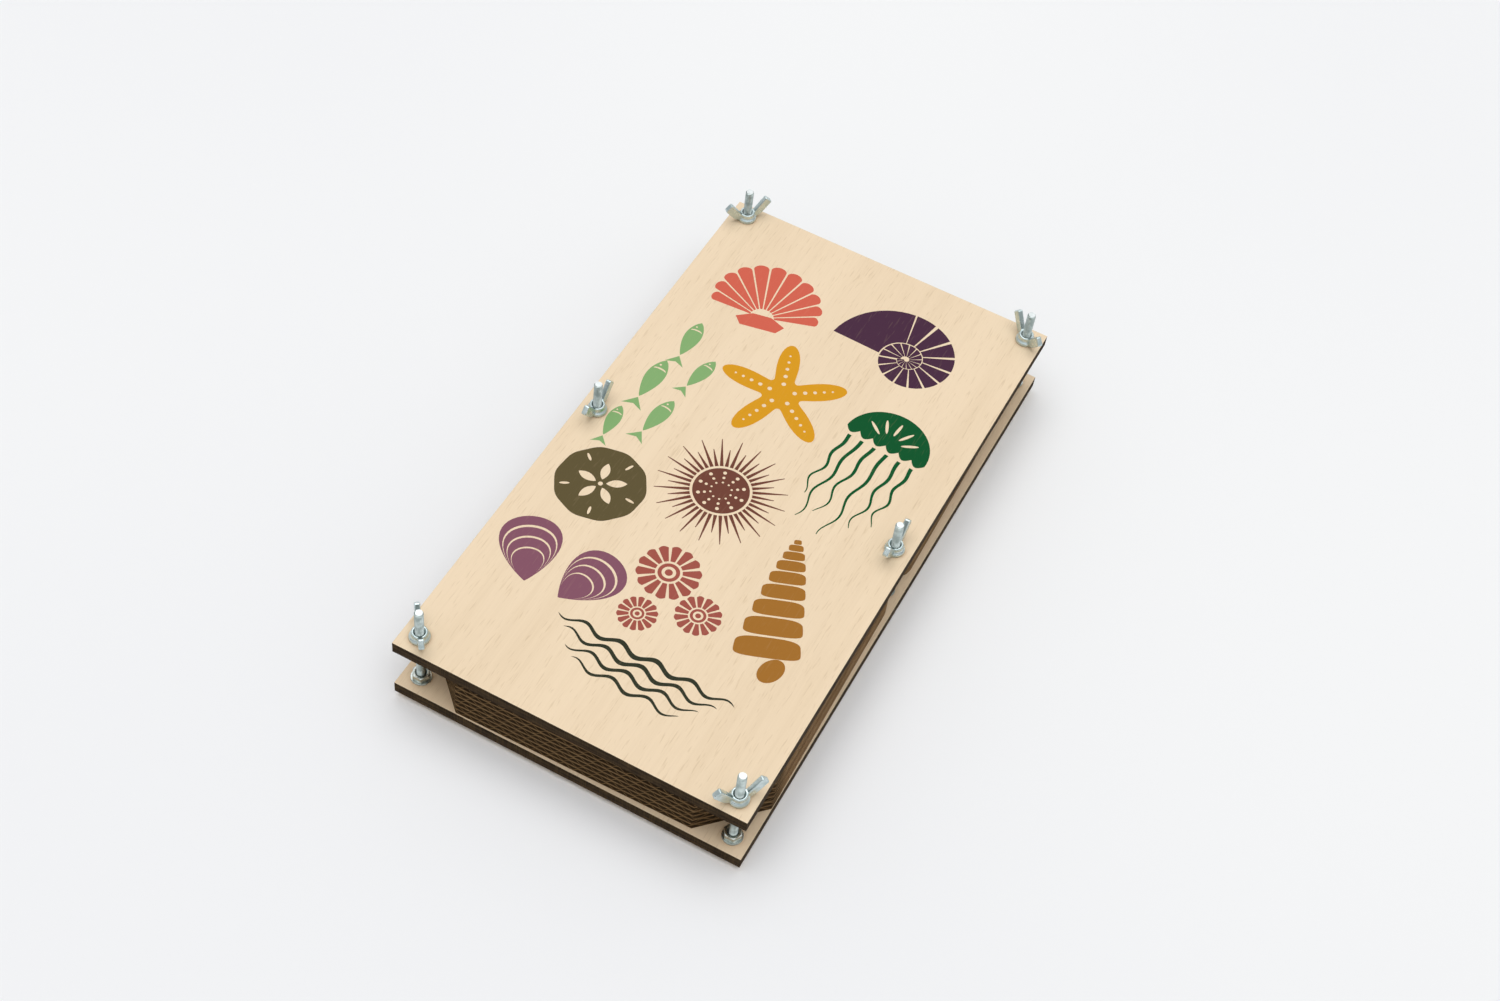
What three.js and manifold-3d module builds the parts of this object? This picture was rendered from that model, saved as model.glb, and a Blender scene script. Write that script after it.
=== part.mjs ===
// Seaweed press: two plywood boards squeeze a stack of corrugated cards and blotting sheets.
// Six bolts stand up from the bottom board, and six wing nuts screw the top board down.
// Millimetres, +Z up. The origin is on the table, under the centre of the boards.
// X runs across the boards, Y along them, and the front end is at -Y.

import * as THREE from 'three';
import { mergeGeometries, mergeVertices } from 'three/addons/utils/BufferGeometryUtils.js';
import Module from 'manifold-3d';

const wasm = await Module();
wasm.setup();

// Boards
const boardWidth = 162;
const boardLength = 300;
const boardThickness = 6;
const boltHoleDiameter = 4.8;
const boltInset = 8;

// Bolts, with flat-crowned pan heads that also serve as the feet
const boltDiameter = 3.9;
const boltLength = 52;
const boltTipChamfer = 0.6;
const headDiameter = 8;
const headHeight = 3.1;
const headRimHeight = 1.3;
const headCrownDiameter = 4.6;
const headShoulderDiameter = 6.9;
const headShoulderHeight = 0.54;

// Washers and hexagon nuts that clamp the bolts to the bottom board
const washerDiameter = 9;
const washerBore = 4.3;
const washerThickness = 0.8;
const nutBore = 4.2;
const nutCountersink = 0.4;
const hexAcrossFlats = 7;
const hexNutHeight = 3.2;
const hexChamferAngle = THREE.MathUtils.degToRad(30);
const hexRimInset = 0.05;

// Wing nuts: a flanged hub that tapers to a collar, and two wings that rise outwards
const hubFlangeDiameter = 9;
const hubFlangeHeight = 1.1;
const hubCollarDiameter = 7.3;
const hubCollarHeight = 0.8;
const hubHeight = 4.4;
const hubEdgeChamfer = 0.3;
const wingReach = 11.7;
const wingTopHeight = 11.4;
const wingRise = THREE.MathUtils.degToRad(45);
const wingWidth = 4.4;
const wingThickness = 3;
const wingEdgeChamfer = 0.45;
const wingCornerRadius = 0.9;

// Corrugated cards: two liners with a wavy sheet between them, so that open flutes run along Y
const cardCount = 7;
const cardSideMargin = 2.5;
const cardEndMargin = 1.5;
const cardThickness = 3;
const linerThickness = 0.25;
const wavyThickness = 0.25;
const flutePitch = 6.5;
const fluteWidth = 6;
const fluteEdgeWall = 1;
const flutePhaseStep = 2.1;

// Blotting sheets, one between each card and the next, cut a little smaller all round
const blotterThickness = 0.3;
const blotterInset = 3;

// How the stack fits round the bolts, and how far it has slipped round at the middle pair
const stackSlip = 1.38;
const notchClearance = 0.6;
const notchSetback = 2.3;
const cornerClearance = 4;

// How far a cutting shape runs past the solid that it cuts
const cutterSpare = 1;

// Number of flat sides that stand for a full turn
const smallRoundSides = 16;
const hexNutSides = 12;
const holeSides = 16;
const outlineArcSteps = 2;

const boltX = boardWidth / 2 - boltInset;
const boltY = boardLength / 2 - boltInset;
const stations = [
  { name: 'front_left', x: -boltX, y: -boltY, wingTurn: 128 },
  { name: 'front_right', x: boltX, y: -boltY, wingTurn: 50 },
  { name: 'middle_left', x: -boltX, y: 0, wingTurn: 88 },
  { name: 'middle_right', x: boltX, y: 0, wingTurn: 88 },
  { name: 'rear_right', x: boltX, y: boltY, wingTurn: 142 },
  { name: 'rear_left', x: -boltX, y: boltY, wingTurn: 51 },
];

const cardWidth = boardWidth - 2 * cardSideMargin;
const cardLength = boardLength - 2 * cardEndMargin;
const stackPitch = cardThickness + blotterThickness;
const stackHeight = cardCount * stackPitch - blotterThickness;
const bottomBoardZ = headHeight;
const stackZ = bottomBoardZ + boardThickness;
const topBoardZ = stackZ + stackHeight;
const wingNutZ = topBoardZ + boardThickness;
const stackTurn = Math.asin(stackSlip / boltX);

function plywood() {
  return new THREE.MeshStandardMaterial({ color: 0xeed7b8, roughness: 0.62, metalness: 0 });
}

function corrugatedCard() {
  return new THREE.MeshStandardMaterial({ color: 0x93714d, roughness: 0.9, metalness: 0 });
}

function blottingPaper() {
  return new THREE.MeshStandardMaterial({ color: 0xe6e0d2, roughness: 0.95, metalness: 0 });
}

function zincPlatedSteel() {
  return new THREE.MeshStandardMaterial({ color: 0xc3c9c8, roughness: 0.34, metalness: 1 });
}

function toSolid(geometry) {
  const bare = geometry.clone();
  bare.deleteAttribute('normal');
  bare.deleteAttribute('uv');
  const merged = mergeVertices(bare, 1e-4);
  return new wasm.Manifold(new wasm.Mesh({
    numProp: 3,
    vertProperties: new Float32Array(merged.attributes.position.array),
    triVerts: new Uint32Array(merged.index.array),
  }));
}

function toGeometry(solid) {
  const mesh = solid.getMesh();
  const geometry = new THREE.BufferGeometry();
  geometry.setAttribute('position', new THREE.BufferAttribute(mesh.vertProperties, 3));
  geometry.setIndex(new THREE.BufferAttribute(mesh.triVerts, 1));
  geometry.computeVertexNormals();
  return geometry;
}

// A solid of revolution about Z from [radius, height] points that run up its outside
function turned(points, sides = smallRoundSides) {
  const profile = points.map(([radius, height]) => new THREE.Vector2(radius, height));
  return new THREE.LatheGeometry(profile, sides).rotateX(Math.PI / 2);
}

// A plate with the outline of a shape, from z = 0 up
function plate(shape, thickness, curveSegments) {
  return new THREE.ExtrudeGeometry(shape, { depth: thickness, bevelEnabled: false, curveSegments });
}

function part(name, geometry, material) {
  const mesh = new THREE.Mesh(geometry, material);
  mesh.name = name;
  return mesh;
}

function boardGeometry() {
  const outline = new THREE.Shape();
  outline.moveTo(-boardWidth / 2, -boardLength / 2);
  outline.lineTo(boardWidth / 2, -boardLength / 2);
  outline.lineTo(boardWidth / 2, boardLength / 2);
  outline.lineTo(-boardWidth / 2, boardLength / 2);
  outline.closePath();
  for (const station of stations) {
    const hole = new THREE.Path();
    hole.absarc(station.x, station.y, boltHoleDiameter / 2, 0, 2 * Math.PI, true);
    outline.holes.push(hole);
  }
  return plate(outline, boardThickness, holeSides / 2);
}

// Head down, with the crown of the head at z = 0 and the shank's tip at the top
function boltGeometry() {
  const tip = headHeight + boltLength;
  return turned([
    [0, 0],
    [headCrownDiameter / 2, 0],
    [headShoulderDiameter / 2, headShoulderHeight],
    [headDiameter / 2, headHeight - headRimHeight],
    [headDiameter / 2, headHeight],
    [boltDiameter / 2, headHeight],
    [boltDiameter / 2, tip - boltTipChamfer],
    [boltDiameter / 2 - boltTipChamfer, tip],
    [0, tip],
  ]);
}

function washerGeometry() {
  return turned([
    [washerBore / 2, 0],
    [washerDiameter / 2, 0],
    [washerDiameter / 2, washerThickness],
    [washerBore / 2, washerThickness],
    [washerBore / 2, 0],
  ]);
}

// The hexagon keeps only what lies inside a ring whose rims are chamfered across the corners
function hexNutGeometry() {
  const cornerRadius = hexAcrossFlats / 2 / Math.cos(Math.PI / 6);
  const rimRadius = hexAcrossFlats / 2 - hexRimInset;
  const ringRadius = cornerRadius / Math.cos(Math.PI / hexNutSides) + hexRimInset;
  const rimDrop = (ringRadius - rimRadius) * Math.tan(hexChamferAngle);
  const prism = new THREE.CylinderGeometry(cornerRadius, cornerRadius, hexNutHeight, 6)
    .rotateX(Math.PI / 2)
    .translate(0, 0, hexNutHeight / 2);
  const ring = turned([
    [nutBore / 2, nutCountersink],
    [nutBore / 2 + nutCountersink, 0],
    [rimRadius, 0],
    [ringRadius, rimDrop],
    [ringRadius, hexNutHeight - rimDrop],
    [rimRadius, hexNutHeight],
    [nutBore / 2 + nutCountersink, hexNutHeight],
    [nutBore / 2, hexNutHeight - nutCountersink],
    [nutBore / 2, nutCountersink],
  ], hexNutSides);
  return toGeometry(toSolid(prism).intersect(toSolid(ring)));
}

// A closed outline whose corners are rounded where a radius is given: [x, y, radius]
function roundedOutline(corners) {
  const shape = new THREE.Shape();
  corners.forEach(([x, y, radius], index) => {
    const corner = new THREE.Vector2(x, y);
    const before = new THREE.Vector2(...corners.at(index - 1).slice(0, 2));
    const after = new THREE.Vector2(...corners[(index + 1) % corners.length].slice(0, 2));
    const start = corner.clone().add(before.sub(corner).setLength(radius));
    const end = corner.clone().add(after.sub(corner).setLength(radius));
    if (index === 0) {
      shape.moveTo(start.x, start.y);
    } else {
      shape.lineTo(start.x, start.y);
    }
    if (radius > 0) {
      shape.quadraticCurveTo(corner.x, corner.y, end.x, end.y);
    }
  });
  shape.closePath();
  return shape;
}

// One wing, seen from its side. Its sharp corners stand out by what their rounding takes off.
function wingGeometry() {
  const along = new THREE.Vector2(Math.cos(wingRise), Math.sin(wingRise));
  const across = new THREE.Vector2(-along.y, along.x);
  const rootRadius = (nutBore / 2 + nutCountersink + hubCollarDiameter / 2) / 2;
  const flank = hubFlangeDiameter / 2;
  const rounding = wingCornerRadius * Math.SQRT1_2 / 2;
  const reach = wingReach + rounding;
  const top = wingTopHeight + rounding;
  const outer = new THREE.Vector2(reach, top - wingWidth * across.y);
  const upper = new THREE.Vector2(reach + wingWidth * across.x, top);
  const outline = roundedOutline([
    [rootRadius, hubFlangeHeight - hubEdgeChamfer, 0],
    [flank, hubFlangeHeight + hubEdgeChamfer, 0],
    [outer.x, outer.y, wingCornerRadius],
    [upper.x, upper.y, wingCornerRadius],
    [hubCollarDiameter / 2 + hubEdgeChamfer, hubHeight + hubCollarHeight, wingCornerRadius],
    [rootRadius, hubHeight - hubEdgeChamfer, 0],
  ]);
  return new THREE.ExtrudeGeometry(outline, {
    depth: wingThickness - 2 * wingEdgeChamfer,
    bevelEnabled: true,
    bevelThickness: wingEdgeChamfer,
    bevelSize: wingEdgeChamfer,
    bevelOffset: -wingEdgeChamfer,
    bevelSegments: 1,
    curveSegments: 2,
  })
    .translate(0, 0, wingEdgeChamfer - wingThickness / 2)
    .rotateX(Math.PI / 2);
}

function wingNutGeometry() {
  const bore = nutBore / 2;
  const flange = hubFlangeDiameter / 2;
  const collar = hubCollarDiameter / 2;
  const hub = turned([
    [bore, nutCountersink],
    [bore + nutCountersink, 0],
    [flange - hubEdgeChamfer, 0],
    [flange, hubEdgeChamfer],
    [flange, hubFlangeHeight],
    [collar, hubHeight - hubCollarHeight],
    [collar, hubHeight],
    [bore + nutCountersink, hubHeight],
    [bore, hubHeight - nutCountersink],
    [bore, nutCountersink],
  ]);
  const wing = toSolid(wingGeometry());
  const opposite = toSolid(wingGeometry().rotateZ(Math.PI));
  return toGeometry(toSolid(hub).add(wing).add(opposite));
}

// The outline of a card, or of a sheet cut smaller than it by inset all round:
// 45 degree corners that clear the corner bolts, and a round notch at each middle bolt
function sheetOutline(inset) {
  const halfWidth = cardWidth / 2 - inset;
  const halfLength = cardLength / 2 - inset;
  const boltToCardCorner = cardWidth / 2 - boltX + cardLength / 2 - boltY;
  const cardCornerLeg = boltToCardCorner + Math.SQRT2 * (washerDiameter / 2 + cornerClearance);
  const leg = cardCornerLeg + (Math.SQRT2 - 2) * inset;
  const notchRadius = washerDiameter / 2 + stackSlip + notchClearance + inset;
  const notchX = boltX - notchSetback;
  const shoulder = halfWidth - notchX;
  const shoulderY = notchRadius + shoulder;
  const shape = new THREE.Shape();
  shape.moveTo(-halfWidth + leg, -halfLength);
  shape.lineTo(halfWidth - leg, -halfLength);
  shape.lineTo(halfWidth, -halfLength + leg);
  shape.absarc(notchX, -shoulderY, shoulder, 0, Math.PI / 2, false);
  shape.absarc(notchX, 0, notchRadius, -Math.PI / 2, Math.PI / 2, true);
  shape.absarc(notchX, shoulderY, shoulder, -Math.PI / 2, 0, false);
  shape.lineTo(halfWidth, halfLength - leg);
  shape.lineTo(halfWidth - leg, halfLength);
  shape.lineTo(-halfWidth + leg, halfLength);
  shape.lineTo(-halfWidth, halfLength - leg);
  shape.absarc(-notchX, shoulderY, shoulder, Math.PI, 3 * Math.PI / 2, false);
  shape.absarc(-notchX, 0, notchRadius, Math.PI / 2, -Math.PI / 2, true);
  shape.absarc(-notchX, -shoulderY, shoulder, Math.PI / 2, Math.PI, false);
  shape.lineTo(-halfWidth, -halfLength + leg);
  shape.closePath();
  return shape;
}

// The open space of one flute: wide on the liner it lies against, with its crest at the other
function fluteGeometry(centre, opensUp) {
  const low = linerThickness;
  const high = cardThickness - linerThickness;
  const wideZ = opensUp ? high : low;
  const crestZ = opensUp ? low + wavyThickness : high - wavyThickness;
  const section = new THREE.Shape();
  section.moveTo(centre - fluteWidth / 2, wideZ);
  section.lineTo(centre, crestZ);
  section.lineTo(centre + fluteWidth / 2, wideZ);
  section.closePath();
  const length = cardLength + 2 * cutterSpare;
  return plate(section, length).rotateX(Math.PI / 2).translate(0, length / 2, 0);
}

// A card is a plate with flutes that open alternately against its upper and lower liner
function cardGeometry(index) {
  const limit = cardWidth / 2 - fluteEdgeWall - fluteWidth / 2;
  const phase = (index * flutePhaseStep) % flutePitch;
  const first = Math.ceil((-limit - phase) / (flutePitch / 2));
  const flutes = [];
  for (let step = first; phase + step * flutePitch / 2 <= limit; step += 1) {
    flutes.push(fluteGeometry(phase + step * flutePitch / 2, step % 2 === 0));
  }
  const sheet = toSolid(plate(sheetOutline(0), cardThickness, outlineArcSteps));
  return toGeometry(sheet.subtract(toSolid(mergeGeometries(flutes))));
}

function stack() {
  const group = new THREE.Group();
  group.position.z = stackZ;
  group.rotation.z = stackTurn;
  for (let index = 0; index < cardCount; index += 1) {
    const card = part(`card_${index + 1}`, cardGeometry(index), corrugatedCard());
    card.position.z = index * stackPitch;
    group.add(card);
    if (index < cardCount - 1) {
      const sheet = plate(sheetOutline(blotterInset), blotterThickness, outlineArcSteps);
      const blotter = part(`blotter_${index + 1}`, sheet, blottingPaper());
      blotter.position.z = index * stackPitch + cardThickness;
      group.add(blotter);
    }
  }
  return group;
}

function fixings(station) {
  const group = new THREE.Group();
  group.position.set(station.x, station.y, 0);
  const bolt = part(`bolt_${station.name}`, boltGeometry(), zincPlatedSteel());
  const washer = part(`washer_${station.name}`, washerGeometry(), zincPlatedSteel());
  const hexNut = part(`hex_nut_${station.name}`, hexNutGeometry(), zincPlatedSteel());
  const wingNut = part(`wing_nut_${station.name}`, wingNutGeometry(), zincPlatedSteel());
  washer.position.z = stackZ;
  hexNut.position.z = stackZ + washerThickness;
  wingNut.position.z = wingNutZ;
  wingNut.rotation.z = THREE.MathUtils.degToRad(station.wingTurn);
  group.add(bolt, washer, hexNut, wingNut);
  return group;
}

const group = new THREE.Group();
const bottomBoard = part('bottom_board', boardGeometry(), plywood());
const topBoard = part('top_board', boardGeometry(), plywood());
bottomBoard.position.z = bottomBoardZ;
topBoard.position.z = topBoardZ;
group.add(bottomBoard, stack(), topBoard);
for (const station of stations) {
  group.add(fixings(station));
}

export default group;
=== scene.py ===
# Seaweed press: two plywood boards squeeze a stack of corrugated cards and blotting sheets,
# drawn together by six bolts and wing nuts. Metres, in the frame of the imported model:
# +X across the boards, +Y along them from the front end to the rear, +Z up from the table.

from math import cos, exp, pi, radians, sin

import bmesh
import bpy
from mathutils import Matrix, Vector


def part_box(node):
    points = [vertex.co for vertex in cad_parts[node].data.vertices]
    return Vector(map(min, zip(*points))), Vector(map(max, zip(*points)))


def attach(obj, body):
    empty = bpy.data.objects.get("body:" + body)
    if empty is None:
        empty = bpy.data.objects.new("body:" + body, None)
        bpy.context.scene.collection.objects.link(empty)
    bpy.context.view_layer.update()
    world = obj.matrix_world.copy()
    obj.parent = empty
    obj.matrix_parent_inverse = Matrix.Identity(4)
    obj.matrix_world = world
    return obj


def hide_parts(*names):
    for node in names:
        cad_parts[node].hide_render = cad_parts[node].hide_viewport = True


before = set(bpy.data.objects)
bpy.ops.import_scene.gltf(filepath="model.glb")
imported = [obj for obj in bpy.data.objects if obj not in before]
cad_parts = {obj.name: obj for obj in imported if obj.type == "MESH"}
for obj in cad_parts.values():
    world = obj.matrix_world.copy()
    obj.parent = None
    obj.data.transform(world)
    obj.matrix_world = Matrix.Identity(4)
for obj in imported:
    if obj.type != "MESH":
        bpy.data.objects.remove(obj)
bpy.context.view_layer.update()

mm = 0.001


# Camera: it looks down on the press from in front, a little to the right of its long axis,
# and is rolled slightly, so that the press lies across the picture.

camera_place = Vector((0.221602, -0.564049, 0.784322))
camera_target = Vector((0.00303, 0.00419, 0.020))
camera_roll = radians(8.504)
sensor_width = 36
focal_length = 53.326

bpy.ops.object.select_all(action="DESELECT")
bpy.ops.object.camera_add(location=camera_place)
camera = bpy.context.object
facing = (camera_target - camera_place).to_track_quat("-Z", "Y").to_matrix()
camera.rotation_euler = (facing @ Matrix.Rotation(camera_roll, 3, "Z")).to_euler()
camera.data.sensor_width = sensor_width
camera.data.lens = focal_length
bpy.context.scene.camera = camera
bpy.context.scene.view_settings.view_transform = "Standard"


# Table: a plain near-white sheet of paint that runs out to the horizon on every side,
# with the faintest unevenness of tone.

floor_radius = 12.0
floor_colour = "f4f4f4"
floor_dip = "f1f1f2"


def colour(code):
    """A colour written as six hexadecimal digits, as the shaders want it."""
    shares = [int(code[i:i + 2], 16) / 255 for i in (0, 2, 4)]
    linear = [s / 12.92 if s <= 0.04045 else ((s + 0.055) / 1.055) ** 2.4 for s in shares]
    return (*linear, 1.0)


def node(tree, kind, inputs=None, **settings):
    """A shader node with its settings made and its inputs wired or given a value."""
    made = tree.nodes.new("ShaderNode" + kind)
    for name, value in settings.items():
        setattr(made, name, value)
    for key, value in (inputs or {}).items():
        if isinstance(value, bpy.types.NodeSocket):
            tree.links.new(value, made.inputs[key])
        else:
            made.inputs[key].default_value = value
    return made


def effect(name, inputs, outputs):
    """An empty node group with named sockets, and its two ends."""
    tree = bpy.data.node_groups.new(name, "ShaderNodeTree")
    for label, value in inputs.items():
        kind = "NodeSocketColor" if isinstance(value, tuple) else "NodeSocketFloat"
        socket = tree.interface.new_socket(name=label, in_out="INPUT", socket_type=kind)
        socket.default_value = value
    for label, kind in outputs.items():
        tree.interface.new_socket(name=label, in_out="OUTPUT", socket_type="NodeSocket" + kind)
    given = tree.nodes.new("NodeGroupInput").outputs
    result = tree.nodes.new("NodeGroupOutput").inputs
    return tree, given, result


def stretched(tree, scale, shift=None):
    """Object coordinates, stretched by a scale in cells a metre along each axis."""
    place = node(tree, "TexCoord").outputs["Object"]
    if shift is not None:
        offset = node(tree, "CombineXYZ", {"X": shift, "Y": shift, "Z": shift})
        place = node(tree, "VectorMath", {0: place, 1: offset.outputs[0]}, operation="ADD").outputs[0]
    return node(tree, "Mapping", {"Vector": place, "Scale": scale}, vector_type="POINT").outputs[0]


def noise(tree, scale, detail, shift=None):
    """Soft noise from 0 to 1 with cells of that many a metre along each axis."""
    vector = stretched(tree, scale, shift)
    return node(tree, "TexNoise", {"Vector": vector, "Scale": 1.0, "Detail": detail}).outputs["Fac"]


def spread(tree, value, low, high, to_low=0.0, to_high=1.0):
    """A value brought smoothly from one range to another."""
    inputs = {"Value": value, "From Min": low, "From Max": high, "To Min": to_low, "To Max": to_high}
    return node(tree, "MapRange", inputs, interpolation_type="SMOOTHSTEP").outputs[0]


def maths(tree, operation, first, second=0.0):
    """One step of arithmetic on values."""
    return node(tree, "Math", {0: first, 1: second}, operation=operation).outputs[0]


def blended(tree, share, first, second):
    """The second colour laid over the first by a share from 0 to 1."""
    mix = node(tree, "Mix", data_type="RGBA")
    for key, value in ((0, share), (6, first), (7, second)):
        if isinstance(value, bpy.types.NodeSocket):
            tree.links.new(value, mix.inputs[key])
        else:
            mix.inputs[key].default_value = value
    return mix.outputs[2]


def material(name, group, values, bump=0.0, **shader_values):
    """A material whose Principled shader takes its uneven channels from one effect."""
    made = bpy.data.materials.new(name)
    made.use_nodes = True
    tree = made.node_tree
    shader = tree.nodes["Principled BSDF"]
    for label, value in shader_values.items():
        shader.inputs[label.replace("_", " ")].default_value = value
    surface = node(tree, "Group", node_tree=group)
    for label, value in values.items():
        surface.inputs[label].default_value = value
    for label in ("Base Color", "Roughness"):
        if label in surface.outputs:
            tree.links.new(surface.outputs[label], shader.inputs[label])
    if bump > 0:
        relief = node(tree, "Bump", {"Height": surface.outputs["Height"], "Distance": bump})
        tree.links.new(relief.outputs[0], shader.inputs["Normal"])
    return made


tree, given, result = effect(
    "uneven_paint", {"Pale": colour(floor_colour), "Dip": colour(floor_dip)}, {"Base Color": "Color"})
tone = spread(tree, noise(tree, (1.3, 1.3, 1.3), 1.0), 0.35, 0.65)
tree.links.new(blended(tree, tone, given["Pale"], given["Dip"]), result["Base Color"])
uneven_paint = tree

bpy.ops.object.select_all(action="DESELECT")
bpy.ops.mesh.primitive_circle_add(vertices=96, radius=floor_radius, fill_type="NGON")
floor = bpy.context.object
floor.name = "floor"
floor.data.materials.append(material(
    "table_paint", uneven_paint, {}, Roughness=0.75, Specular_IOR_Level=0.1))


# Light: a wide pale studio, brightest overhead and dim low down, where its left side is a
# little the lighter, and one large soft lamp. Metal and the camera also see its pale backdrop.

lamp_place = Vector((-0.4, 0.4, 2.1))
lamp_side = 1.6
lamp_power = 2.4
lighter_side = Vector((-0.7, 0.0, 0.0))
wall_dim = 0.38
wall_lit = 0.44
ceiling = 2.05
ceiling_band = (0.72, 0.97)
backdrop = 0.86
backdrop_band = (0.1, 0.22)
upper_walls = 1.1
upper_walls_band = (0.38, 0.6)

world = bpy.data.worlds.new("studio")
world.use_nodes = True
bpy.context.scene.world = world
tree = world.node_tree
direction = node(tree, "TexCoord").outputs["Generated"]
towards = node(tree, "VectorMath", {0: direction, 1: lighter_side}, operation="DOT_PRODUCT")
walls = spread(tree, towards.outputs["Value"], -0.9, 0.9, wall_dim, wall_lit)
rise = node(tree, "SeparateXYZ", {0: direction}).outputs["Z"]
overhead = spread(tree, rise, *ceiling_band, 0.0, ceiling)
light_path = node(tree, "LightPath")
seen = maths(tree, "MAXIMUM", light_path.outputs["Is Camera Ray"], light_path.outputs["Is Glossy Ray"])
seen = maths(tree, "MAXIMUM", seen, light_path.outputs["Is Transmission Ray"])
low_band = spread(tree, rise, *backdrop_band, backdrop, wall_dim)
high_band = spread(tree, rise, *upper_walls_band, 0.0, upper_walls)
bands = maths(tree, "MULTIPLY", seen, maths(tree, "MAXIMUM", low_band, high_band))
strength = maths(tree, "MAXIMUM", maths(tree, "ADD", walls, overhead), bands)
background = tree.nodes["Background"]
background.inputs["Color"].default_value = colour("fdfeff")
tree.links.new(strength, background.inputs["Strength"])

bpy.ops.object.light_add(type="AREA", location=lamp_place)
lamp = bpy.context.object
lamp.rotation_euler = (-lamp_place).to_track_quat("-Z", "Y").to_euler()
lamp.data.size = lamp_side
lamp.data.energy = lamp_power


# Plywood boards: 6 mm maple-faced plywood, cut by laser, so the faces are pale and finely
# flecked along the long side and the edges and the six bolt holes are charred brown.
# A station holds the place of a bolt across and along, and the turn of its wing nut in degrees.

bolt_x = 73 * mm
bolt_y = 142 * mm
stations = {
    "front_left": (-bolt_x, -bolt_y, 128),
    "front_right": (bolt_x, -bolt_y, 50),
    "middle_left": (-bolt_x, 0.0, 88),
    "middle_right": (bolt_x, 0.0, 88),
    "rear_right": (bolt_x, bolt_y, 142),
    "rear_left": (-bolt_x, bolt_y, 51),
}
hole_diameter = 4.8 * mm
arris = 0.12 * mm
ply = 1.2 * mm
pattern_shift = {"bottom_board": 3.7, "top_board": 0.0}

veneer_pale = colour("efd8b8")
veneer_fleck = colour("d2b792")
fleck_share = 0.38
growth_share = 0.12
fibre_share = 0.12
veneer_relief = 0.015 * mm

# Round each bolt the veneer is painted browner towards the hole: painted shade where the nuts and washers
# stand on the board.
nut_shaded_veneer = colour("b58a60")
nut_shade_reach = 7 * mm
nut_shade_share = 0.55

char_dark = colour("231910")
char_light = colour("55432b")
streak_share = 0.45
patch_share = 0.4
layer_share = 0.22
char_relief = 0.05 * mm

tree, given, result = effect(
    "veneer", {"Pale": veneer_pale, "Fleck": veneer_fleck, "Shift": 0.0},
    {"Base Color": "Color", "Height": "Float"})
fibre = noise(tree, (1500, 40, 300), 3.0, given["Shift"])
flecks = spread(tree, noise(tree, (1500, 130, 300), 1.0, given["Shift"]), 0.6, 0.74)
growth = spread(tree, noise(tree, (160, 5, 40), 2.0, given["Shift"]), 0.4, 0.7)
tone = noise(tree, (26, 7, 20), 1.0, given["Shift"])
share = maths(tree, "MULTIPLY", flecks, fleck_share)
share = maths(tree, "ADD", share, maths(tree, "MULTIPLY", growth, growth_share))
strands = maths(tree, "MULTIPLY", spread(tree, fibre, 0.35, 0.75), fibre_share)
share = maths(tree, "ADD", share, strands)
share = maths(tree, "ADD", share, spread(tree, tone, 0.3, 0.7, -0.05, 0.07))
wood = blended(tree, share, given["Pale"], given["Fleck"])
place = node(tree, "SeparateXYZ", {0: node(tree, "TexCoord").outputs["Object"]})
across = maths(tree, "SUBTRACT", maths(tree, "ABSOLUTE", place.outputs["X"]), bolt_x)
along = maths(tree, "ABSOLUTE", place.outputs["Y"])
along = maths(tree, "MINIMUM", along, maths(tree, "ABSOLUTE", maths(tree, "SUBTRACT", along, bolt_y)))
reach = node(tree, "CombineXYZ", {"X": across, "Y": along})
reach = node(tree, "VectorMath", {0: reach.outputs[0]}, operation="LENGTH").outputs["Value"]
# Painted shade round the nuts and washers, fading out from the hole's edge.
nut_shade_mask = spread(tree, reach, hole_diameter / 2, nut_shade_reach, nut_shade_share, 0.0)
tree.links.new(blended(tree, nut_shade_mask, wood, nut_shaded_veneer), result["Base Color"])
tree.links.new(fibre, result["Height"])
veneer = tree

tree, given, result = effect(
    "charred_cut", {"Dark": char_dark, "Light": char_light, "Layer": ply, "Start": 0.0},
    {"Base Color": "Color", "Height": "Float"})
streaks = noise(tree, (2300, 2300, 60), 2.0)
patches = spread(tree, noise(tree, (120, 120, 420), 3.0), 0.35, 0.7)
depth = node(tree, "SeparateXYZ", {0: node(tree, "TexCoord").outputs["Object"]}).outputs["Z"]
layer = maths(tree, "DIVIDE", maths(tree, "SUBTRACT", depth, given["Start"]), given["Layer"])
layer = spread(tree, maths(tree, "PINGPONG", layer, 1.0), 0.3, 0.7)
share = maths(tree, "MULTIPLY", spread(tree, streaks, 0.4, 0.75), streak_share)
share = maths(tree, "ADD", share, maths(tree, "MULTIPLY", patches, patch_share))
share = maths(tree, "ADD", share, maths(tree, "MULTIPLY", layer, layer_share))
tree.links.new(blended(tree, share, given["Dark"], given["Light"]), result["Base Color"])
tree.links.new(maths(tree, "ADD", streaks, maths(tree, "MULTIPLY", layer, 0.5)), result["Height"])
charred_cut = tree


def activate(piece):
    """Only this piece is selected, and the operators work on it."""
    bpy.ops.object.select_all(action="DESELECT")
    piece.select_set(True)
    bpy.context.view_layer.objects.active = piece


def settled(name):
    """The piece just made gets its name, and its place goes into its mesh."""
    piece = bpy.context.object
    piece.name = name
    piece.data.name = name
    activate(piece)
    bpy.ops.object.transform_apply(location=True, rotation=True, scale=True)
    return piece


def block(name, low, high):
    """A box between two corners."""
    low, high = Vector(low), Vector(high)
    bpy.ops.object.select_all(action="DESELECT")
    bpy.ops.mesh.primitive_cube_add(size=1, location=(low + high) / 2, scale=high - low)
    return settled(name)


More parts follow.
